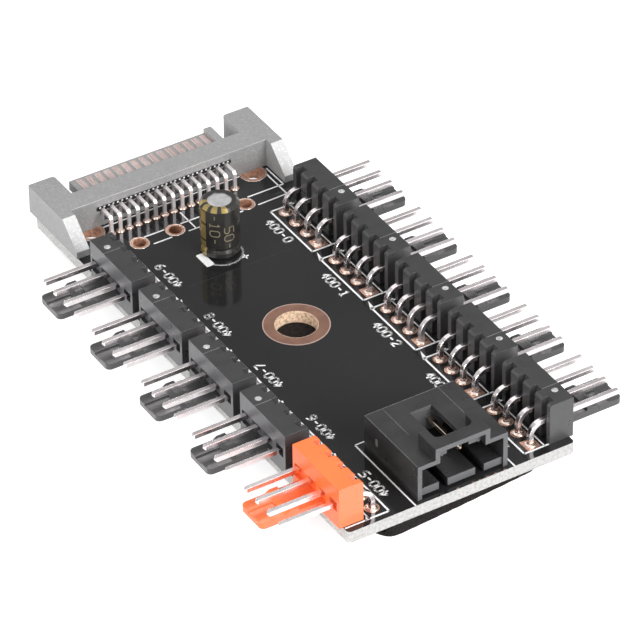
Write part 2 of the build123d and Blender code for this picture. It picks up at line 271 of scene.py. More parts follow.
def drift_nodes(group, start):
    """One colour drifting into another in soft patches."""
    patches = range_node(group, noise_node(group, start["Scale"], 5.0), (0.35, 0.65))
    return (mix_colour(group, patches, start["First"], start["Second"]),)


def speck_nodes(group, start):
    """Fine specks, as a mask that rises from one level of the noise to another."""
    fine = noise_node(group, start["Scale"], start["Detail"])
    return (range_node(group, fine, (start["From"], start["To"])),)


def painted_shading_nodes(group, start):
    """Paints light and shade into a header's colour: tints its top, the face its pins leave by and its
    front end by how light falls on them.
    """
    place = place_axes(group)
    normal = normal_axes(group)
    high = math_node(group, "GREATER_THAN", place["Z"], BOARD_HIGH[2] + HEADER_SHOULDER * MM)
    upward = math_node(group, "GREATER_THAN", normal["Z"], FACING)
    side = math_node(group, "SIGN", place["X"])
    outward = math_node(group, "MULTIPLY", side, normal["X"])
    colour = start["Color"]
    for label, mask in (("Top", math_node(group, "MULTIPLY", high, upward)),
                        ("Outward", math_node(group, "GREATER_THAN", outward, FACING)),
                        ("Front", math_node(group, "LESS_THAN", normal["Y"], -FACING))):
        colour = mix_colour(group, mask, colour, start[label], "MULTIPLY")
    return (colour,)


# Each node group's inputs with their values, its outputs and the function that fills it
NODE_GROUPS = {
    "moulded grain": ({"Scale": 2000.0, "Low": 0.3, "High": 0.5, "Detail": 3.0},
                      ("Roughness", "Height"), grain_nodes),
    "colour drift": ({"First": WHITE, "Second": BLACK, "Scale": 300.0}, ("Color",), drift_nodes),
    "fine specks": ({"Scale": 3000.0, "Detail": 5.0, "From": 0.45, "To": 0.6}, ("Mask",), speck_nodes),
    "header painted shading": ({"Color": WHITE, "Top": WHITE, "Outward": WHITE, "Front": WHITE}, ("Color",),
                      painted_shading_nodes),
}


def new_group(name, inputs, outputs, fill):
    """A shader node group with its sockets and its nodes."""
    group = bpy.data.node_groups.new(name, "ShaderNodeTree")
    for label, value in inputs.items():
        kind = "NodeSocketColor" if isinstance(value, tuple) else "NodeSocketFloat"
        socket = group.interface.new_socket(label, in_out="INPUT", socket_type=kind)
        socket.default_value = value
    for label in outputs:
        kind = "NodeSocketColor" if label == "Color" else "NodeSocketFloat"
        group.interface.new_socket(label, in_out="OUTPUT", socket_type=kind)
    start = group.nodes.new("NodeGroupInput")
    end = group.nodes.new("NodeGroupOutput")
    for label, value in zip(outputs, fill(group, start.outputs)):
        group.links.new(value, end.inputs[label])
    return group


def add_group(tree, name, **values):
    """Puts a node group into a material with its own values, and gives its outputs."""
    node = add_node(tree, "Group")
    node.node_tree = bpy.data.node_groups.get(name) or new_group(name, *NODE_GROUPS[name])
    for label, value in values.items():
        feed(tree, node.inputs[label], value)
    return node.outputs


def four(colour):
    """A colour with its alpha."""
    return (colour[0], colour[1], colour[2], 1.0)


def shade(colour, factor):
    """A colour made lighter or darker."""
    return tuple(min(1.0, c * factor) for c in colour)


def finish(name, first, second, drift=300.0, grain=2000.0, low=0.3, high=0.5, bump=0.1, reach=0.00002,
           metal=0.0, gloss=0.5, ease=0.0):
    """A material whose colour, roughness and height all vary over the surface."""
    material = bpy.data.materials.new(name)
    material.use_nodes = True
    tree = material.node_tree
    shader = tree.nodes["Principled BSDF"]
    tint = add_group(tree, "colour drift", First=four(first), Second=four(second), Scale=drift)
    rough = add_group(tree, "moulded grain", Scale=grain, Low=low, High=high)
    relief = add_node(tree, "Bump", Strength=bump, Distance=reach, Height=rough["Height"])
    for label, value in (("Base Color", tint["Color"]), ("Roughness", rough["Roughness"]),
                         ("Normal", relief.outputs["Normal"]), ("Metallic", metal),
                         ("Specular IOR Level", gloss)):
        feed(tree, shader.inputs[label], value)
    if ease:
        edge = add_node(tree, "Bevel", Radius=ease * MM)
        edge.samples = 4
        tree.links.new(edge.outputs["Normal"], relief.inputs["Normal"])
    return material


def opened(material):
    """A material's node tree, its shader's inputs and the socket that feeds its colour."""
    tree = material.node_tree
    inputs = tree.nodes["Principled BSDF"].inputs
    return tree, inputs, inputs["Base Color"].links[0].from_socket


def dress(node, material):
    """Gives a CAD node a material in place of its plain one."""
    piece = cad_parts[node]
    piece.data.materials.clear()
    piece.data.materials.append(material)


# Meshes


def hang(name, mesh, material):
    """Makes a piece of a bmesh and its material, and hangs it on the part."""
    data = bpy.data.meshes.new(name)
    mesh.to_mesh(data)
    mesh.free()
    data.materials.append(material)
    piece = bpy.data.objects.new(name, data)
    bpy.context.scene.collection.objects.link(piece)
    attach(piece, "root")
    return piece


def hang_drawn(name, mesh, material, smooth=False):
    """Hangs a piece whose faces were drawn one by one, once they all look outward."""
    bmesh.ops.recalc_face_normals(mesh, faces=mesh.faces)
    for face in mesh.faces:
        face.smooth = smooth
    return hang(name, mesh, material)


def add_prism(mesh, outline, low, high, surface=spot):
    """A closed prism over an outline of points in millimetres."""
    bottom = [mesh.verts.new(surface(x, y, low)) for x, y in outline]
    top = [mesh.verts.new(surface(x, y, high)) for x, y in outline]
    mesh.faces.new(bottom[::-1])
    mesh.faces.new(top)
    count = len(outline)
    for i in range(count):
        j = (i + 1) % count
        mesh.faces.new((bottom[i], bottom[j], top[j], top[i]))


def add_ring(mesh, x, y, inner, outer, low, high, steps=28, square=False, surface=spot):
    """A flat ring, round inside and round or square outside."""
    rows = []
    for height in (low, high):
        for radius in (inner, outer):
            row = []
            for step in range(steps):
                angle = 2 * math.pi * (step + 0.5) / steps
                reach = radius
                if square and radius == outer:
                    reach = outer / max(abs(math.cos(angle)), abs(math.sin(angle)))
                point = surface(x + reach * math.cos(angle), y + reach * math.sin(angle), height)
                row.append(mesh.verts.new(point))
            rows.append(row)
    low_in, low_out, high_in, high_out = rows
    for a, b in ((high_in, high_out), (high_out, low_out), (low_out, low_in), (low_in, high_in)):
        for i in range(steps):
            j = (i + 1) % steps
            mesh.faces.new((a[i], a[j], b[j], b[i]))


def add_stroke(mesh, start, end, width, low, high, steps=5, surface=spot):
    """A printed line from one point to another, with round ends."""
    dx, dy = end[0] - start[0], end[1] - start[1]
    heading = math.atan2(dy, dx)
    half = width / 2
    outline = []
    for centre, turn in ((start, math.pi / 2), (end, -math.pi / 2)):
        for step in range(steps + 1):
            angle = heading + turn + math.pi * step / steps
            outline.append((centre[0] + half * math.cos(angle), centre[1] + half * math.sin(angle)))
    add_prism(mesh, outline, low, high, surface)


def add_path(mesh, points, width, low, high, surface=spot):
    """Printed lines through a row of points."""
    for start, end in zip(points, points[1:]):
        add_stroke(mesh, start, end, width, low, high, surface=surface)


def divided(points, reach):
    """The same row of points with more between them, none further apart than the reach."""
    row = [points[0]]
    for start, end in zip(points, points[1:]):
        parts = max(1, math.ceil(math.dist(start, end) / reach))
        for part in range(1, parts + 1):
            share = part / parts
            row.append((start[0] + (end[0] - start[0]) * share, start[1] + (end[1] - start[1]) * share))
    return row


def add_turned(mesh, x, y, profile, steps=28):
    """A closed solid turned about an upright axis from its outline."""
    rows = []
    for radius, height in profile:
        row = []
        for step in range(steps):
            angle = 2 * math.pi * step / steps
            point = spot(x + radius * math.cos(angle), y + radius * math.sin(angle), height)
            row.append(mesh.verts.new(point))
        rows.append(row)
    for a, b in zip(rows, rows[1:] + rows[:1]):
        for i in range(steps):
            j = (i + 1) % steps
            mesh.faces.new((a[i], a[j], b[j], b[i]))


# Each digit as strokes on a grid four wide and six high
DIGITS = {
    "0": [[(1, 0), (3, 0), (4, 1), (4, 5), (3, 6), (1, 6), (0, 5), (0, 1), (1, 0)]],
    "1": [[(1, 5), (2, 6), (2, 0)], [(1, 0), (3, 0)]],
    "2": [[(0, 5), (1, 6), (3, 6), (4, 5), (4, 4), (0, 0), (4, 0)]],
    "3": [[(0, 6), (4, 6), (2, 4), (3, 4), (4, 3), (4, 1), (3, 0), (1, 0), (0, 1)]],
    "4": [[(3, 0), (3, 6), (0, 2), (4, 2)]],
    "5": [[(4, 6), (0, 6), (0, 3), (3, 3), (4, 2), (4, 1), (3, 0), (0, 0)]],
    "6": [[(3, 6), (1, 5), (0, 3), (0, 1), (1, 0), (3, 0), (4, 1), (4, 2), (3, 3), (0, 3)]],
    "7": [[(0, 6), (4, 6), (4, 5), (1, 0)]],
    "8": [[(1, 0), (3, 0), (4, 1), (4, 2), (3, 3), (1, 3), (0, 4), (0, 5), (1, 6), (3, 6), (4, 5),
           (4, 4), (3, 3)], [(1, 3), (0, 2), (0, 1), (1, 0)]],
    "9": [[(1, 0), (3, 1), (4, 3), (4, 5), (3, 6), (1, 6), (0, 5), (0, 4), (1, 3), (4, 3)]],
    "-": [[(1, 3), (3, 3)]],
}


def add_number(mesh, text, place, turn, height, width, low, high, surface=spot):
    """A number in strokes, centred on its place and turned by an angle."""
    unit = height / 6
    step = 5.6 * unit
    reach = (len(text) - 1) * step + 4 * unit
    c, s = math.cos(turn), math.sin(turn)
    for index, digit in enumerate(text):
        for stroke in DIGITS[digit]:
            points = []
            for gx, gy in stroke:
                u = index * step + gx * unit - reach / 2
                v = gy * unit - height / 2
                points.append((place[0] + u * c - v * s, place[1] + u * s + v * c))
            if surface is not spot:
                points = divided(points, 0.25)
            add_path(mesh, points, width, low, high, surface)


def pin_path(start, end, height, bend_radius, bottom):
    """A bent pin's centre line: along, up, heading and how full its section is."""
    half = PIN_WIDTH / 2
    radius = bend_radius - half
    rows = [(start, bottom, 90.0, 0.55), (start, bottom + 0.2, 90.0, 1.0)]
    for step in range(13):
        angle = math.radians(step * 7.5)
        x = start + radius - radius * math.cos(angle)
        z = height - radius + radius * math.sin(angle)
        rows.append((x, z, 90.0 - step * 7.5, 1.0))
    rows.append((end - 0.2, height, 0.0, 1.0))
    rows.append((end, height, 0.0, 0.375))
    return rows


def add_pin(mesh, rows, surface):
    """A square pin with eased edges, swept along its centre line."""
    half = PIN_WIDTH / 2
    ease = 0.07
    flat = half - ease
    rim = ease * 0.3
    corner = [(half, flat), (half - rim, half - rim), (flat, half)]
    section = []
    for turn in range(4):
        angle = turn * math.pi / 2
        c, s = math.cos(angle), math.sin(angle)
        section += [(a * c - b * s, a * s + b * c) for a, b in corner]
    rings = []
    for x, z, heading, scale in rows:
        angle = math.radians(heading)
        ring = []
        for across, out in section:
            lift = out * scale
            along = x - lift * math.sin(angle)
            up = z + lift * math.cos(angle)
            ring.append(mesh.verts.new(surface(along, across * scale, up)))
        rings.append(ring)
    count = len(section)
    for a, b in zip(rings, rings[1:]):
        for i in range(count):
            j = (i + 1) % count
            mesh.faces.new((a[i], a[j], b[j], b[i]))
    mesh.faces.new(rings[0][::-1])
    mesh.faces.new(rings[-1])


# Operators


class HUB_OT_board(bpy.types.Operator):
    """Black solder mask, pale cut edges and lined holes on the circuit board"""

    bl_idname = "hub.board"
    bl_label = "Board"

    def execute(self, context):
        colours = context.scene.hub_colours
        dress("board", board_material(colours))
        dress("mounting_hole_ring", ring_material(colours))
        track(colours)
        return {"FINISHED"}


def board_material(colours):
    """The mask on the flat faces, laminate on the outer edge and copper inside the holes."""
    material = finish("solder mask", colours.mask, shade(colours.mask, 1.2), drift=60.0, grain=700.0,
                      low=0.05, high=0.1, bump=0.04, reach=0.00001, gloss=0.4)
    tree, inputs, mask_colour = opened(material)
    mask_rough = inputs["Roughness"].links[0].from_socket
    place = place_axes(tree)
    upright = math_node(tree, "LESS_THAN", math_node(tree, "ABSOLUTE", normal_axes(tree)["Z"]), 0.5)
    margin = 0.6 * MM
    far = []
    for axis, low, high in zip("XY", BOARD_LOW, BOARD_HIGH):
        centre = (low + high) / 2
        away = math_node(tree, "ABSOLUTE", math_node(tree, "SUBTRACT", place[axis], centre))
        far.append(math_node(tree, "GREATER_THAN", away, high - centre - margin))
    edge = math_node(tree, "MULTIPLY", upright, math_node(tree, "MAXIMUM", *far))
    wall = math_node(tree, "SUBTRACT", upright, edge)
    grit = add_group(tree, "fine specks", Scale=2600.0, Detail=6.0, From=0.42, To=0.62)["Mask"]
    laminate = mix_colour(tree, grit, four(colours.edge), four(shade(colours.edge, 0.78)))
    copper = mix_colour(tree, grit, four(colours.wall), four(shade(colours.wall, 0.55)))
    colour = mix_colour(tree, edge, mask_colour, laminate)
    colour = mix_colour(tree, wall, colour, copper)
    rough = math_node(tree, "MAXIMUM", mask_rough, math_node(tree, "MULTIPLY", edge, 0.75))
    rough = math_node(tree, "MAXIMUM", rough, math_node(tree, "MULTIPLY", wall, 0.4))
    feed(tree, inputs["Base Color"], colour)
    feed(tree, inputs["Metallic"], math_node(tree, "MULTIPLY", wall, 0.35))
    feed(tree, inputs["Roughness"], rough)
    return material


def ring_material(colours):
    """Bare copper: dull on the flat ring, with a pale rim, and rough and bright down the hole."""
    material = finish("ring copper", (0.24, 0.128, 0.092), (0.31, 0.165, 0.115), drift=700.0, grain=1800.0,
                      low=0.34, high=0.48, bump=0.3, reach=0.00003)
    tree, inputs, flat_colour = opened(material)
    across, along = from_axis(tree, place_axes(tree), "mounting_hole_ring")
    square = math_node(tree, "ADD", math_node(tree, "MULTIPLY", across, across),
                       math_node(tree, "MULTIPLY", along, along))
    radius = math_node(tree, "SQRT", square)
    outer = math_node(tree, "GREATER_THAN", radius, 4.02 * MM)
    inner = math_node(tree, "LESS_THAN", radius, 2.69 * MM)
    grit = add_group(tree, "fine specks", Scale=3000.0, Detail=5.0, From=0.45, To=0.62)["Mask"]
    lining = mix_colour(tree, grit, four(colours.lining), four(shade(colours.lining, 0.5)))
    colour = mix_colour(tree, outer, flat_colour, (0.62, 0.45, 0.4, 1.0))
    flat = math_node(tree, "SUBTRACT", 1.0, inner)
    feed(tree, inputs["Base Color"], mix_colour(tree, inner, colour, lining))
    feed(tree, inputs["Metallic"], math_node(tree, "MULTIPLY", flat, 0.6))
    return material


def track(colours):
    """A fine track that shows faintly through the solder mask."""
    covered = finish("mask over copper", shade(colours.mask, 1.7), shade(colours.mask, 2.4), drift=900.0,
                     grain=900.0, low=0.12, high=0.2, bump=0.05, reach=0.00001, gloss=0.28)
    mesh = bmesh.new()
    add_stroke(mesh, (8.4, 50.45), (24.6, 50.45), 0.12, 0.0, 0.006)
    hang_drawn("track", mesh, covered)


class HUB_OT_print(bpy.types.Operator):
    """White lines and numbers printed on the board"""

    bl_idname = "hub.print"
    bl_label = "Print"

    def execute(self, context):
        sizes = context.scene.hub_sizes
        colours = context.scene.hub_colours
        ink = finish("print ink", colours.ink, shade(colours.ink, 0.92), drift=2500.0, grain=5000.0,
                     low=0.45, high=0.65, bump=0.2, reach=0.00001)
        for name, draw in (("header_print", header_print), ("number_print", number_print),
                           ("socket_print", socket_print), ("capacitor_print", capacitor_print)):
            mesh = bmesh.new()
            draw(mesh, sizes)
            hang_drawn(name, mesh, ink)
        return {"FINISHED"}


def beside(side, number, points):
    """Points about the middle of a right-hand header, moved to any header and turned with it."""
    centre = header_middle(side, number)
    if side == "right":
        return [(x, y + centre) for x, y in points]
    return [(BOARD_WIDTH - x, centre - y) for x, y in points]


def header_print(mesh, sizes):
    """The box printed round each header."""
    high = sizes.print_height
    for side, number in EVERY_HEADER:
        row = 25.05 if side == "right" else 25.2
        end = FRONT_END if (side, number) == ORANGE_HEADER else BOX_END
        outer = [(28.4, end), (row, end), (row, -BOX_END), (28.4, -BOX_END)]
        inner = [(27.9, end), (27.9, -BOX_END)]
        for points, width in ((outer, sizes.line * 1.2), (inner, sizes.thin_line)):
            add_path(mesh, beside(side, number, points), width, PRINT_LOW, high)
        marks = [[(27.75, 5.3), (28.35, 5.3), (27.95, 4.6)]]
        if number != (HEADERS if side == "right" else 1):
            marks.insert(0, [(24.8, 4.8), (25.35, 4.65), (25.45, 6.4)])
        for points in marks:
            add_prism(mesh, beside(side, number, points), PRINT_LOW, high)


def number_print(mesh, sizes):
    """The plain numbers beside the headers."""
    for number in range(1, HEADERS + 1):
        right = header_middle("right", number) + (0.95 if number == HEADERS else -0.4)
        left = (7.65, header_middle("left", number) + 0.25)
        if number == 1:
            left = (7.3, left[1] - 0.48)
        for text, place, turn in ((f"400-{HEADERS - number}", (23.85, right), -math.pi / 2),
                                  (f"400-{HEADERS - 1 + number}", left, math.pi / 2)):
            add_number(mesh, text, place, turn, sizes.digit_height, sizes.digit_line, PRINT_LOW,
                       sizes.print_height)


def socket_print(mesh, sizes):
    """The lines round the power socket and the drive socket."""
    front = header_middle("left", 1) - FRONT_END
    for points in (
        [(9.2, 0.1), (9.2, 13.3), (10.5, 13.3)],
        [(22.88, 0.1), (22.88, 13.3), (21.6, 13.3)],
        [(5.4, 66.75), (25.7, 66.95)],
        [(29.45, 66.6), (29.5, 62.6), (24.3, 62.6)],
        [(28.8, 66.0), (28.8, 60.6), (24.6, 60.5)],
        [(8.7, 62.25), (11.9, 62.25)],
        [(14.4, 62.25), (17.0, 62.25)],
        [(9.5, 60.4), (12.0, 60.4)],
        [(14.5, 60.4), (17.0, 60.4)],
        [(19.6, 60.4), (22.2, 60.4)],
        [(15.5, 64.3), (15.5, 60.5)],
        [(0.2, front), (3.0, front)],
    ):
        add_path(mesh, points, sizes.line, PRINT_LOW, sizes.print_height)


def arc(centre, radius, start, step, count):
    """Points along an arc, from a start angle and a step in degrees."""
    angles = [math.radians(index * step + start) for index in range(count)]
    return [(centre[0] + radius * math.cos(a), centre[1] + radius * math.sin(a)) for a in angles]


def capacitor_print(mesh, sizes):
    """The ring, the minus block and the plus sign by the capacitor."""
    high = sizes.print_height
    block = []
    for x, y, start in ((13.4, 55.3, 0), (12.7, 55.3, 90), (12.7, 52.9, 180), (13.4, 52.9, 270)):
        block += arc((x, y), 0.2, start, 22.5, 5)
    add_path(mesh, arc((15.56, 54.33), 2.62, -152.0, 5.0, 33), sizes.line, PRINT_LOW, high)
    add_prism(mesh, block, PRINT_LOW, high + 0.004)
    add_stroke(mesh, (17.2, 52.1), (18.0, 52.1), sizes.line, PRINT_LOW, high)
    add_stroke(mesh, (17.6, 51.7), (17.6, 52.5), sizes.line, PRINT_LOW, high)


class HUB_OT_pads(bpy.types.Operator):
    """Copper pads and rims of solder on top of the board"""

    bl_idname = "hub.pads"
    bl_label = "Pads"

    def execute(self, context):
        sizes = context.scene.hub_sizes
        colours = context.scene.hub_colours
        copper = finish("pad copper", colours.copper, shade(colours.copper, 1.3), drift=1500.0,
                        grain=3000.0, low=0.2, high=0.42, bump=0.4, reach=0.00004, metal=0.75)
        solder = finish("pad solder", (0.9, 0.77, 0.71), (0.78, 0.6, 0.5), drift=2200.0, grain=1500.0,
                        low=0.14, high=0.3, bump=0.6, reach=0.00006, metal=0.9)
        pads = bmesh.new()
        rims = bmesh.new()
        for x, y, square in header_pad_places(sizes):
            add_ring(pads, x, y, sizes.hole_radius, sizes.pad_radius, PAD_LIFT, PAD_TOP, square=square)
            add_rim(rims, x, y, sizes.hole_radius * 0.93, sizes.pad_radius * 0.86, 0.2)
        for x, y in contact_places(sizes):
            add_ring(pads, x, y, 0.4, 0.56, PAD_LIFT, PAD_TOP, steps=16)
            add_rim(rims, x, y, 0.33, 0.52, 0.18)
        for x in spread(BOARD_WIDTH / 2, 4, SPARE_PITCH):
            y = contact_row() - SPARE_SETBACK
            add_ring(pads, x, y, 0.83, 1.22, PAD_LIFT, PAD_TOP)
            add_ring(rims, x, y, 1.08, 1.27, PAD_LIFT, RIM_TOP)
        for x in (14.9, 17.0, 18.0, 19.0, 20.1, 21.4):
            add_stroke(pads, (x, 0.12), (x + 0.25, 0.12), 0.12, 0.0, 0.02)
        for x in spread(middle("drive_socket_housing")[0], 2, 23.4):
            y = contact_row() + 1.55
            add_ring(pads, x, y, 1.28, 1.75, PAD_LIFT, PAD_TOP)
            add_ring(rims, x, y, 1.62, 1.8, PAD_LIFT, RIM_TOP)
        hang_drawn("copper_pads", pads, copper)
        hang_drawn("solder_rims", rims, solder, smooth=True)
        return {"FINISHED"}


def add_rim(mesh, x, y, inner, outer, height):
    """A low collar of solder that rises towards its pin."""
    profile = [(outer, 0.03), (outer, 0.05), ((inner + outer * 2) / 3, 0.05 + height * 0.4),
               ((inner * 2 + outer) / 3, 0.05 + height * 0.65), (inner, 0.05 + height),
               (inner - 0.03, 0.05 + height), (inner - 0.03, 0.03)]
    add_turned(mesh, x, y, profile, steps=20)


def spread(centre, count, pitch):
    """Places in a row, evenly spread about its centre."""
    return [centre + (index - (count - 1) / 2) * pitch for index in range(count)]


def header_pad_places(sizes):
    """X, Y and whether square, of each pad of the headers."""
    places = []
    for side, number in EVERY_HEADER:
        x = sizes.pin_row
        rows = spread(header_middle(side, number), PINS, sizes.pin_pitch)
        if side == "right":
            x = BOARD_WIDTH - x
        else:
            rows.reverse()
        places += [(x, y, y == rows[0]) for y in rows]
    return places


def contact_row():
    """Y of the drive socket's row of solder tails."""
    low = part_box("drive_socket_contacts")[0]
    return (low[1] - BOARD_LOW[1]) / MM + 0.15


def contact_places(sizes):
    """X and Y of the drive socket's solder tails."""
    columns = spread(middle("drive_socket_contacts")[0], CONTACTS, sizes.contact_pitch)
    return [(x, contact_row()) for x in columns]


class HUB_OT_headers(bpy.types.Operator):
    """Plastic of the fan headers, with painted light and shade on their faces and the marks that moulding
    leaves on top, whose round ones are painted pale as a highlight
    """

    bl_idname = "hub.headers"
    bl_label = "Header housings"

    def execute(self, context):
        sizes = context.scene.hub_sizes
        colours = context.scene.hub_colours
        black = finish("black plastic", colours.black, shade(colours.black, 1.2), drift=200.0,
                       grain=3000.0, low=0.26, high=0.4, bump=0.15, gloss=0.6, ease=0.09)
        orange = finish("orange plastic", colours.orange, shade(colours.orange, 0.93), drift=200.0,
                        grain=3000.0, low=0.26, high=0.4, bump=0.12, gloss=0.6, ease=0.09)
        # Painted light and shade: the black header's top darker and its outward face lighter, the orange
        # header's top and outward face tinted and its front end lighter.
        paint_header_shading(black, (0.45, 0.45, 0.45), (2.0, 2.0, 2.0), (1.0, 1.0, 1.0))
        paint_header_shading(orange, (1.0, 0.98, 0.8), (1.0, 0.82, 0.8), (1.0, 1.17, 1.8))
        # The ejector marks are real dimples; their pale colour is a painted highlight.
        pale = finish("ejector mark painted highlight", (0.3, 0.3, 0.3), (0.6, 0.6, 0.6), drift=2500.0, grain=4000.0,
                      low=0.2, high=0.3)
        seam = finish("moulding seam", (0.2, 0.2, 0.205), (0.3, 0.3, 0.31), drift=1500.0, grain=4000.0,
                      low=0.3, high=0.4)
        marks = bmesh.new()
        seams = bmesh.new()
        for side, number in EVERY_HEADER:
            node = f"header_{side}_{number}_housing"
            if (side, number) == ORANGE_HEADER:
                dress(node, orange)
            else:
                dress(node, black)
                add_header_marks(marks, seams, sizes, side, number)
        hang_drawn("ejector_marks", marks, pale, smooth=True)
        hang_drawn("moulding_seams", seams, seam)
        return {"FINISHED"}


def paint_header_shading(material, top, outward, front):
    """Gives a header's plastic its painted shade and painted light on the top, the outward face and the
    front end.
    """
    tree, inputs, colour = opened(material)
    tinted = add_group(tree, "header painted shading", Color=colour, Top=four(top), Outward=four(outward),
                       Front=four(front))
    feed(tree, inputs["Base Color"], tinted["Color"])


def add_header_marks(marks, seams, sizes, side, number):
    """The round mark, painted pale as a highlight, and the fine line on top of one header."""
    top = (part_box(f"header_{side}_{number}_housing")[1][2] - BOARD_HIGH[2]) / MM
    mark, start, end = beside(side, number, [(30.7, -2.73), (31.78, -1.75), (29.5, -1.75)])
    radius = sizes.mark_radius
    profile = [(0.02, top), (radius, top), (radius, top + 0.012), (radius * 0.6, top + 0.02),
               (0.02, top + 0.024)]
    add_turned(marks, mark[0], mark[1], profile, steps=24)
    add_stroke(seams, start, end, 0.05, top, top + 0.01, steps=2)


class HUB_OT_pins(bpy.types.Operator):
    """Bright metal of the header pins, the power pins, the drive contacts and the joints"""

    bl_idname = "hub.pins"
    bl_label = "Pins"

    def execute(self, context):
        sizes = context.scene.hub_sizes
        colours = context.scene.hub_colours
        tin = finish("tin plating", colours.tin, shade(colours.tin, 0.86), drift=700.0, grain=500.0,
                     low=0.15, high=0.3, bump=0.12, reach=0.00004, metal=1.0)
        gold = finish("gold plating", (0.78, 0.66, 0.56), (0.62, 0.5, 0.4), drift=900.0,
                      low=0.15, high=0.25, bump=0.2, metal=1.0)
        solder = finish("joint solder", (0.72, 0.72, 0.74), (0.6, 0.6, 0.62), drift=800.0, grain=1500.0,
                        low=0.18, high=0.35, bump=0.4, reach=0.00005, metal=0.95)
        for side, number in EVERY_HEADER:
            header_pins(sizes, tin, side, number)
        power_pins(sizes, gold)
        under_joints(sizes, solder)
        dress("drive_socket_contacts", contact_material(colours))
        dress("capacitor_leads", tin)
        return {"FINISHED"}


def header_pins(sizes, tin, side, number):
    """The four pins of one header."""
    node = f"header_{side}_{number}_pins"
    mesh = bmesh.new()
    rows = pin_path(-5.2, 7.3, 2.85, 1.9, TAIL_END)
    for y in spread(header_middle(side, number), PINS, sizes.pin_pitch):
        add_pin(mesh, rows, header_frame(side, y))
    piece = hang_drawn(f"pins_{side}_{number}", mesh, tin)
    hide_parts(node)


def header_frame(side, y):
    """Turns a right-hand pin's own measures into a place on its side of the board."""
    if side == "right":
        return lambda u, v, h: spot(BOARD_WIDTH + 0.5 + u, y + v, h)
    return lambda u, v, h: spot(-0.5 - u, y - v, h)


def power_columns(sizes):
    """X of the power socket's pins."""
    return spread(middle("power_socket_pins")[0], PINS, sizes.pin_pitch)


def power_pins(sizes, gold):
    """The power socket's four pins, which run to the front."""
    mesh = bmesh.new()
    rows = pin_path(0.0, POWER_ROW - 3.11, 3.0, 1.0, TAIL_END)
    for x in power_columns(sizes):
        add_pin(mesh, rows, lambda u, v, h, x=x: spot(x + v, POWER_ROW - u, h))
    piece = hang_drawn("pins_power", mesh, gold)
    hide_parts("power_socket_pins")


def under_joints(sizes, solder):
    """Smooth cones of solder round the tails under the board."""
    mesh = bmesh.new()
    leads = middle("capacitor_leads")
    places = [(x, y, 0.84, 0.34) for x, y, _ in header_pad_places(sizes)]
    places += [(x, POWER_ROW, 0.84, 0.34) for x in power_columns(sizes)]
    places += [(x, y, 0.52, 0.2) for x, y in contact_places(sizes)]
    places += [(x, leads[1], 0.8, 0.26) for x in spread(leads[0], 2, 2.0)]
    for x, y, wide, narrow in places:
        step = (wide - narrow) / 6
        profile = [(wide, JOINT_TOP), (wide, -1.64), (narrow + 2.6 * step, -1.85),
                   (narrow + 1.2 * step, -2.1), (narrow + 0.4 * step, -2.38), (narrow, -2.38),
                   (narrow, JOINT_TOP)]
        add_turned(mesh, x, y, profile, steps=20)
    piece = hang_drawn("cones_under", mesh, solder, smooth=True)
    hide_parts("solder_joints")


def contact_material(colours):
    """Tin on the contacts' tails and rubbed plating on their blades."""
    material = finish("contact plating", (0.74, 0.6, 0.57), (0.6, 0.46, 0.43), drift=1200.0,
                      grain=1500.0, low=0.25, high=0.42, bump=0.3, reach=0.00003, metal=0.8)
    tree, inputs, blade = opened(material)
    tail = math_node(tree, "LESS_THAN", place_axes(tree)["Y"], spot(0, WALL + 0.8).y)
    feed(tree, inputs["Base Color"], mix_colour(tree, tail, blade, four(colours.tin)))
    return material


class HUB_OT_sockets(bpy.types.Operator):
    """Plastic of the power socket and the drive socket, with their moulding marks and painted light and
    shade
    """

    bl_idname = "hub.sockets"
    bl_label = "Sockets"

    def execute(self, context):
        colours = context.scene.hub_colours
        dress("power_socket_housing", socket_material(colours))
        dress("drive_socket_housing", grey_material(colours))
        wall_marks(context.scene.hub_sizes)
        blade_lines(context.scene.hub_sizes)
        socket_marks()
        return {"FINISHED"}


def socket_material(colours):
    """Black plastic whose faces that look to the front are painted paler, a painted highlight for the light
    that falls on the socket's front rim.
    """
    material = finish("socket plastic", shade(colours.black, 0.42), shade(colours.black, 0.6), drift=250.0,
                      grain=3000.0, low=0.26, high=0.4, bump=0.15, reach=0.00003, gloss=0.38, ease=0.14)
    tree, inputs, plain = opened(material)
    # Painted highlight: faces that look to the front get a lighter colour.
    front = math_node(tree, "LESS_THAN", normal_axes(tree)["Y"], -FACING)
    feed(tree, inputs["Base Color"], mix_colour(tree, front, plain, four(shade(colours.black, 2.4))))
    return material


def grey_material(colours):
    """Grey plastic with pale and dark specks, and paler sloping feet, partly for their frosted finish and
    partly as painted light where they face the lamp.
    """
    material = finish("grey plastic", colours.grey, shade(colours.grey, 0.92), drift=150.0, grain=3500.0,
                      low=0.32, high=0.45, bump=0.15, reach=0.00003, ease=0.1)
    tree, inputs, plain = opened(material)
    pale, dark = [add_group(tree, "fine specks", Scale=3600.0, Detail=4.0, From=low, To=high)["Mask"]
                  for low, high in ((0.54, 0.68), (0.44, 0.32))]
    colour = mix_colour(tree, pale, plain, four(shade(colours.grey, 1.16)))
    colour = mix_colour(tree, dark, colour, four(shade(colours.grey, 0.86)))
    # Painted light, partly real frost: faces that slope upward get a much paler colour.
    upward = normal_axes(tree)["Z"]
    slope = math_node(tree, "MULTIPLY", math_node(tree, "GREATER_THAN", upward, 0.2),
                      math_node(tree, "LESS_THAN", upward, FACING))
    frost_and_painted_light = mix_colour(tree, pale, four(shade(colours.grey, 1.9)), four(shade(colours.grey, 2.5)))
    feed(tree, inputs["Base Color"], mix_colour(tree, slope, colour, frost_and_painted_light))
    return material


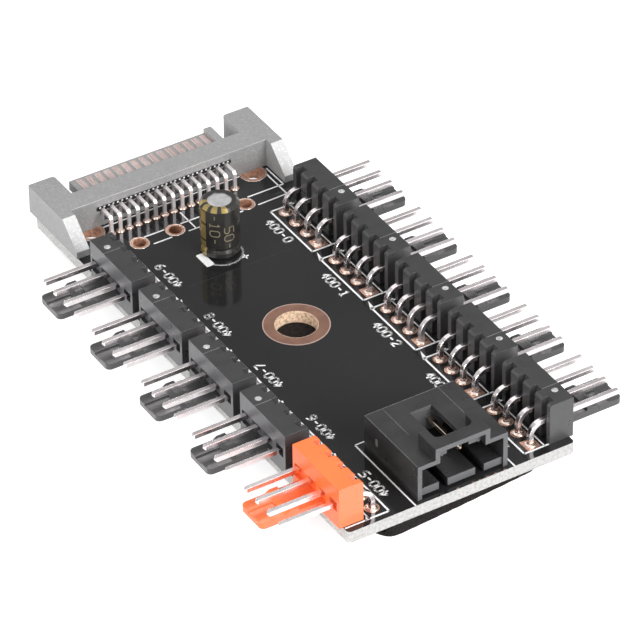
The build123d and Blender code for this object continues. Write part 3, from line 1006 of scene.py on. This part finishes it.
def wall_marks(sizes):
    """Painted shade in the recess round the contacts' tails and on the wall between them, and the marks on
    the drive socket's back: painted highlights on the recess's ribs and the wall's upper edge, and an
    ejector ring.
    """
    face = on_wall(WALL)
    centre = middle("drive_socket_contacts")[0]
    pitch = sizes.contact_pitch
    fine = {"drift": 900.0, "grain": 2500.0, "bump": 0.2}

    # The material called insert is a dark strip of painted shade in the recess that the contacts leave by.
    dark = finish("insert", (0.012, 0.012, 0.013), (0.025, 0.024, 0.026), low=0.4, high=0.6, gloss=0.2,
                  **fine)
    mesh = bmesh.new()
    low, high = spread(centre, 2, (CONTACTS - 1) * pitch + 1.1)
    add_prism(mesh, [(low, 2.2), (high, 2.2), (high, 2.9), (low, 2.9)], -0.03, 0.0, face)
    hang_drawn("painted_shade_strip", mesh, dark)

    # Painted shade on the wall between the tails, below the recess.
    panel_shade = finish("painted shade panels", (0.085, 0.075, 0.08), (0.05, 0.045, 0.047), low=0.4, high=0.6, **fine)
    mesh = bmesh.new()
    for x in spread(centre, CONTACTS - 1, pitch):
        add_prism(mesh, [(x - 0.4, 0.7), (x + 0.4, 0.7), (x + 0.4, 2.1), (x - 0.4, 2.1)], 0.0, 0.01, face)
    hang_drawn("painted_shade_panels", mesh, panel_shade)

    # Painted highlights: pale dots on the ribs in the recess and a line along the wall's upper edge.
    pale = finish("painted highlights", (0.62, 0.62, 0.62), (0.75, 0.75, 0.75), high=0.42, **fine)
    mesh = bmesh.new()
    for x in spread(centre, 2 * CONTACTS, pitch / 2):
        add_ring(mesh, x, 2.72, 0.02, 0.13, -0.01, 0.012, steps=12, surface=face)
    add_stroke(mesh, (0.1, 3.96), (31.1, 3.96), 0.05, 0.0, 0.01, steps=2, surface=face)
    hang_drawn("wall_marks", mesh, pale)

    soft = finish("ejector ring", (0.4, 0.4, 0.4), (0.3, 0.3, 0.3), high=0.42, **fine)
    mesh = bmesh.new()
    add_ring(mesh, 27.6, 2.35, 0.72, 0.79, 0.0, 0.012, steps=40, surface=face)
    hang_drawn("wall_ring", mesh, soft)


def blade_lines(sizes):
    """Painted highlights, as bright lines along each contact's blade."""
    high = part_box("drive_socket_contacts")[1]
    top = (high[2] - BOARD_HIGH[2]) / MM
    end = (high[1] - BOARD_LOW[1]) / MM
    # The bright lines are painted highlights along the blades.
    blade_glint = finish("blade edge painted highlight", (0.95, 0.9, 0.9), (0.8, 0.7, 0.68), drift=2500.0, grain=2500.0,
                  low=0.2, high=0.35, bump=0.3, metal=0.6)
    mesh = bmesh.new()
    for centre in spread(middle("drive_socket_contacts")[0], CONTACTS, sizes.contact_pitch):
        for x, width in ((centre - 0.36, 0.09), (centre + 0.1, 0.05)):
            add_stroke(mesh, (x, end - 3.4), (x, end - 0.1), width, top, top + 0.006, steps=2)
    hang_drawn("blade_lines", mesh, blade_glint)


def socket_marks():
    """Pale lines along the edges and steps of the power socket's top, which are painted edge highlights,
    and the oval mark on its side.
    """
    left = (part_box("power_socket_housing")[0][0] - BOARD_LOW[0]) / MM
    top = SOCKET_TOP
    pale = finish("socket painted edge lines and mark", (0.13, 0.13, 0.13), (0.2, 0.2, 0.2), drift=1500.0, grain=3000.0,
                  low=0.25, high=0.4)
    mesh = bmesh.new()
    # Painted highlights along the top's edges and steps.
    for start, end, height in (((12.25, 6.4), (12.25, 12.0), 0.01), ((19.95, 6.4), (19.95, 12.0), 0.01),
                               ((left + 0.05, 0.75), (left + 0.05, 12.05), 0.015),
                               ((left + 0.1, 12.12), (left + 12.3, 12.12), 0.015)):
        add_stroke(mesh, start, end, 0.05, top, top + height, steps=2)

    def side(u, v, h):
        return spot(left - h, u, v)

    add_stroke(mesh, (9.5, 2.35), (9.5, 2.95), 0.55, 0.0, 0.012, steps=8, surface=side)
    hang_drawn("socket_marks", mesh, pale)


class HUB_OT_capacitor(bpy.types.Operator):
    """The capacitor's can, its printed sleeve and its rubber bung"""

    bl_idname = "hub.capacitor"
    bl_label = "Capacitor"

    def execute(self, context):
        colours = context.scene.hub_colours
        bright = finish("drawn aluminium", (0.7, 0.7, 0.71), (0.58, 0.58, 0.59), drift=1600.0, grain=2500.0,
                        low=0.25, high=0.4, bump=0.3, metal=0.85)
        rubber = finish("bung rubber", (0.03, 0.03, 0.03), (0.05, 0.05, 0.05), drift=1500.0, grain=3000.0,
                        low=0.6, high=0.8, bump=0.3, reach=0.00003)
        dress("capacitor_can", bright)
        dress("capacitor_bung", rubber)
        dress("capacitor_sleeve", sleeve_material(colours))
        sleeve_print()
        return {"FINISHED"}


def sleeve_material(colours):
    """Glossy black film with a broken gold stripe, and gold dashes round its rim."""
    material = finish("printed sleeve", (0.022, 0.021, 0.02), (0.032, 0.03, 0.028), drift=400.0,
                      grain=1200.0, low=0.12, high=0.24, bump=0.15, reach=0.00003)
    tree, inputs, film = opened(material)
    place = place_axes(tree)
    across, along = from_axis(tree, place, "capacitor_sleeve")
    angle = math_node(tree, "ARCTAN2", along, math_node(tree, "MULTIPLY", across, -1.0))
    height = math_node(tree, "SUBTRACT", place["Z"], BOARD_HIGH[2])
    near = math_node(tree, "LESS_THAN", math_node(tree, "ABSOLUTE", angle), 0.27)
    cycle = math_node(tree, "FRACT", math_node(tree, "DIVIDE", height, 2.45 * MM))
    dash = math_node(tree, "GREATER_THAN", cycle, 0.1)
    below_rim = math_node(tree, "LESS_THAN", height, 6.95 * MM)
    stripe = math_node(tree, "MULTIPLY", math_node(tree, "MULTIPLY", near, dash), below_rim)
    turns = math_node(tree, "FRACT", math_node(tree, "MULTIPLY", angle, 1.75))
    segment = math_node(tree, "GREATER_THAN", turns, 0.4)
    from_front = math_node(tree, "ABSOLUTE", math_node(tree, "ADD", angle, 0.5))
    front = math_node(tree, "LESS_THAN", from_front, 1.05)
    rim = math_node(tree, "GREATER_THAN", height, 7.1 * MM)
    dashes = math_node(tree, "MULTIPLY", math_node(tree, "MULTIPLY", segment, front), rim)
    mask = math_node(tree, "MAXIMUM", stripe, dashes)
    feed(tree, inputs["Base Color"], mix_colour(tree, mask, film, four(colours.gold)))
    feed(tree, inputs["Metallic"], math_node(tree, "MULTIPLY", mask, 0.55))
    return material


def sleeve_print():
    """Plain pale numerals down the capacitor's side."""
    pale = finish("sleeve print", (0.33, 0.29, 0.19), (0.24, 0.2, 0.12), drift=1500.0, grain=3000.0,
                  low=0.25, high=0.4, metal=0.3)
    low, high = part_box("capacitor_sleeve")
    centre = middle("capacitor_sleeve")
    surface = in_shaft((high[0] - low[0]) / 2 / MM, centre[0], centre[1])
    mesh = bmesh.new()
    for text, place in (("50-", (-0.13, 3.25)), ("-10-", (-1.98, 4.6))):
        add_number(mesh, text, place, -math.pi / 2, 1.25, 0.13, -0.01, 0.02, surface)
    hang_drawn("sleeve_print", mesh, pale)


class HUB_OT_foam(bpy.types.Operator):
    """The foam pad under the board, open-celled and a little uneven"""

    bl_idname = "hub.foam"
    bl_label = "Foam pad"

    def execute(self, context):
        colours = context.scene.hub_colours
        foam = finish("dark foam", colours.foam, shade(colours.foam, 0.4), drift=3200.0, grain=2600.0,
                      low=0.85, high=0.98, bump=1.0, reach=0.00025, gloss=0.2)
        piece = hang("foam_cells", foam_shape(), foam)
        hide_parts("foam_pad")
        return {"FINISHED"}


def foam_shape():
    """The pad's own shape in small cells, made uneven by noise and a little fuller in front."""
    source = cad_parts["foam_pad"]
    shape = bmesh.new()
    shape.from_mesh(source.data)
    bmesh.ops.transform(shape, matrix=source.matrix_world, verts=shape.verts)
    bmesh.ops.remove_doubles(shape, verts=shape.verts, dist=0.001 * MM)
    for _ in range(8):
        bmesh.ops.triangulate(shape, faces=shape.faces)
        coarse = [edge for edge in shape.edges if edge.calc_length() > 0.7 * MM]
        if not coarse:
            break
        bmesh.ops.subdivide_edges(shape, edges=coarse, cuts=1)
    shape.normal_update()
    reach = 1.6 * MM
    push = 0.7 * MM
    moves = []
    for vertex in shape.verts:
        wave = noise.noise(vertex.co * 1700.0) + 0.5 * noise.noise(vertex.co * 4200.0)
        move = vertex.normal * (0.035 * MM * (wave - 0.8))
        share = min(1.0, max(0.0, (PAD_LOW[1] + reach - vertex.co.y) / reach))
        move.y -= push * share * share * (3.0 - 2.0 * share)
        moves.append((vertex, move))
    for vertex, move in moves:
        vertex.co += move
        vertex.co.z = min(max(vertex.co.z, PAD_LOW[2]), PAD_HIGH[2])
    for face in shape.faces:
        face.smooth = True
    return shape


class HUB_OT_stage(bpy.types.Operator):
    """A white floor, soft lamps and the camera"""

    bl_idname = "hub.stage"
    bl_label = "Stage"

    def execute(self, context):
        make_floor()
        make_world()
        make_lamps()
        make_camera(context.scene.hub_camera)
        context.scene.view_settings.view_transform = "Standard"
        return {"FINISHED"}


def make_floor():
    """A wide floor that the camera and polished metal see as white."""
    mesh = bpy.data.meshes.new("floor")
    piece = bpy.data.objects.new("floor", mesh)
    bpy.context.scene.collection.objects.link(piece)
    build = bmesh.new()
    reach = 3.0
    height = PAD_LOW[2] - 0.00005
    corners = ((-reach, -reach), (reach, -reach), (reach, reach), (-reach, reach))
    build.faces.new([build.verts.new((x, y, height)) for x, y in corners])
    build.to_mesh(mesh)
    build.free()
    material = bpy.data.materials.new("floor white")
    material.use_nodes = True
    tree = material.node_tree
    shader = tree.nodes["Principled BSDF"]
    rays = add_node(tree, "LightPath").outputs
    either = math_node(tree, "MAXIMUM", rays["Is Camera Ray"], rays["Is Glossy Ray"])
    glow = math_node(tree, "MULTIPLY", either, 0.76)
    for label, value in (("Base Color", (0.62, 0.62, 0.62, 1.0)), ("Roughness", 0.9),
                         ("Specular IOR Level", 0.0), ("Emission Color", WHITE),
                         ("Emission Strength", glow)):
        feed(tree, shader.inputs[label], value)
    mesh.materials.append(material)


def make_world():
    """White to the camera, bright and uneven in reflections, and soft grey light otherwise."""
    world = bpy.data.worlds.new("studio")
    bpy.context.scene.world = world
    world.use_nodes = True
    tree = world.node_tree
    ground = tree.nodes["Background"]
    rays = add_node(tree, "LightPath").outputs
    place = add_node(tree, "TexCoord").outputs["Generated"]
    height = add_node(tree, "SeparateXYZ", Vector=place).outputs["Z"]
    plain = range_node(tree, height, (0.1, 0.95), (0.55, 0.25))
    rise = range_node(tree, height, (0.15, 0.95), (1.15, 0.5))
    clouds = add_node(tree, "TexNoise", Vector=place, Scale=2.6).outputs["Fac"]
    patches = range_node(tree, clouds, (0.42, 0.6), (0.55, 1.15))
    seen = math_node(tree, "MULTIPLY", rise, patches)
    seen = math_node(tree, "MULTIPLY", seen, rays["Is Glossy Ray"])
    strength = math_node(tree, "MAXIMUM", plain, seen)
    strength = math_node(tree, "MAXIMUM", strength, rays["Is Camera Ray"])
    feed(tree, ground.inputs["Color"], WHITE)
    feed(tree, ground.inputs["Strength"], strength)


def make_lamps():
    """A broad lamp high in front, one from the left and one from above."""
    target = Vector((0, 0, 0.005))
    for name, place, size, power in (
        ("front", (0.16, -0.52, 0.34), 0.35, 3.9),
        ("left", (-0.6, -0.15, 0.2), 0.4, 3.1),
        ("top", (0.05, 0.15, 0.75), 1.0, 2.6),
    ):
        lamp = bpy.data.lights.new(name, "AREA")
        lamp.shape = "SQUARE"
        lamp.size = size
        lamp.energy = power
        piece = bpy.data.objects.new(name, lamp)
        bpy.context.scene.collection.objects.link(piece)
        piece.location = place
        piece.rotation_euler = (target - Vector(place)).to_track_quat("-Z", "Y").to_euler()


def make_camera(settings):
    """The camera at the photograph's place."""
    data = bpy.data.cameras.new("camera")
    data.sensor_width = 36.0
    data.lens = settings.lens
    data.clip_start = 0.01
    data.clip_end = 10.0
    piece = bpy.data.objects.new("camera", data)
    bpy.context.scene.collection.objects.link(piece)
    piece.location = settings.place
    piece.rotation_euler = settings.turn
    bpy.context.scene.camera = piece


class HUB_PT_panel(bpy.types.Panel):
    """The hub's sizes, colours and steps"""

    bl_label = "Fan hub"
    bl_idname = "HUB_PT_panel"
    bl_space_type = "VIEW_3D"
    bl_region_type = "UI"
    bl_category = "Fan hub"

    def draw(self, context):
        layout = self.layout
        for group in (context.scene.hub_sizes, context.scene.hub_colours, context.scene.hub_camera):
            box = layout.box()
            for name in group.__annotations__:
                box.prop(group, name)
        for step in STEPS:
            layout.operator(step.bl_idname)


GROUPS = (HubSizes, HubColours, HubCamera)
STEPS = (HUB_OT_stage, HUB_OT_board, HUB_OT_print, HUB_OT_pads, HUB_OT_headers, HUB_OT_pins,
         HUB_OT_sockets, HUB_OT_capacitor, HUB_OT_foam)


def register():
    """Adds the classes and the scene's settings."""
    for kind in GROUPS + STEPS + (HUB_PT_panel,):
        bpy.utils.register_class(kind)
    bpy.types.Scene.hub_sizes = PointerProperty(type=HubSizes)
    bpy.types.Scene.hub_colours = PointerProperty(type=HubColours)
    bpy.types.Scene.hub_camera = PointerProperty(type=HubCamera)


def unregister():
    """Takes the classes and the scene's settings away again."""
    del bpy.types.Scene.hub_camera
    del bpy.types.Scene.hub_colours
    del bpy.types.Scene.hub_sizes
    for kind in reversed(GROUPS + STEPS + (HUB_PT_panel,)):
        bpy.utils.unregister_class(kind)


def main():
    """Dresses the part step by step."""
    register()
    bpy.ops.hub.stage()
    bpy.ops.hub.board()
    bpy.ops.hub.print()
    bpy.ops.hub.pads()
    bpy.ops.hub.headers()
    bpy.ops.hub.pins()
    bpy.ops.hub.sockets()
    bpy.ops.hub.capacitor()
    bpy.ops.hub.foam()


if __name__ == "__main__":
    main()
